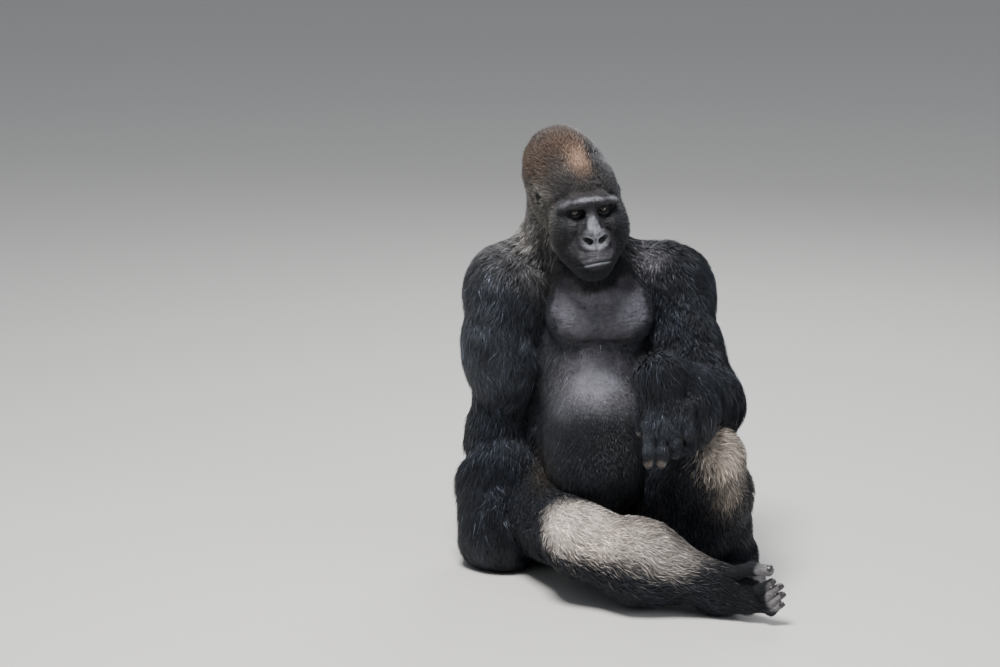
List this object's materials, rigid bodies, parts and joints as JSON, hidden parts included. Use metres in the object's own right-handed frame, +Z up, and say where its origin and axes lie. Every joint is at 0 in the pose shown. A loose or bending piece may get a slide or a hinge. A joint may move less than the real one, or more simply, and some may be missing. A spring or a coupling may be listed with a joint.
{
  "type": "silverback gorilla figure",
  "caption": "Life-size still model of an adult male western lowland gorilla sitting upright, one arm hanging to the floor, one forearm over the raised knee and one shin crossed in front.",
  "frame": {"origin": "on the floor under the middle of the seat, at the flat underside of the pelvis", "axes": "+Z up the sitting body, -Y the way the animal faces, -X towards its own right hand"},
  "size_m": [0.7548, 0.7692, 1.0804],
  "materials": {
    "coat": "dark blue-grey to black hair, red-brown on the crown and pale on the shins, as a soft dull surface",
    "skin": "bare dark grey skin, creased and slightly shiny",
    "eye": "wet amber-brown"
  },
  "bodies": {
    "root": {"head": "coat", "neck": "coat", "abdomen": "coat", "pelvis": "coat", "upper_arm_right": "coat", "forearm_right": "coat", "thigh_right": "coat", "lower_leg_right": "coat", "upper_arm_left": "coat", "forearm_left": "coat", "thigh_left": "coat", "lower_leg_left": "coat", "jaw": "skin", "chest": "skin", "ear_right": "skin", "hand_right": "skin", "thumb_right": "skin", "index_right": "skin", "middle_right": "skin", "ring_right": "skin", "little_right": "skin", "foot_right": "skin", "great_toe_right": "skin", "toe_2_right": "skin", "toe_3_right": "skin", "toe_4_right": "skin", "toe_5_right": "skin", "ear_left": "skin", "hand_left": "skin", "thumb_left": "skin", "index_left": "skin", "middle_left": "skin", "ring_left": "skin", "little_left": "skin", "foot_left": "skin", "great_toe_left": "skin", "toe_2_left": "skin", "toe_3_left": "skin", "toe_4_left": "skin", "toe_5_left": "skin", "eye_right": "eye", "eye_left": "eye"}
  },
  "joints": []
}
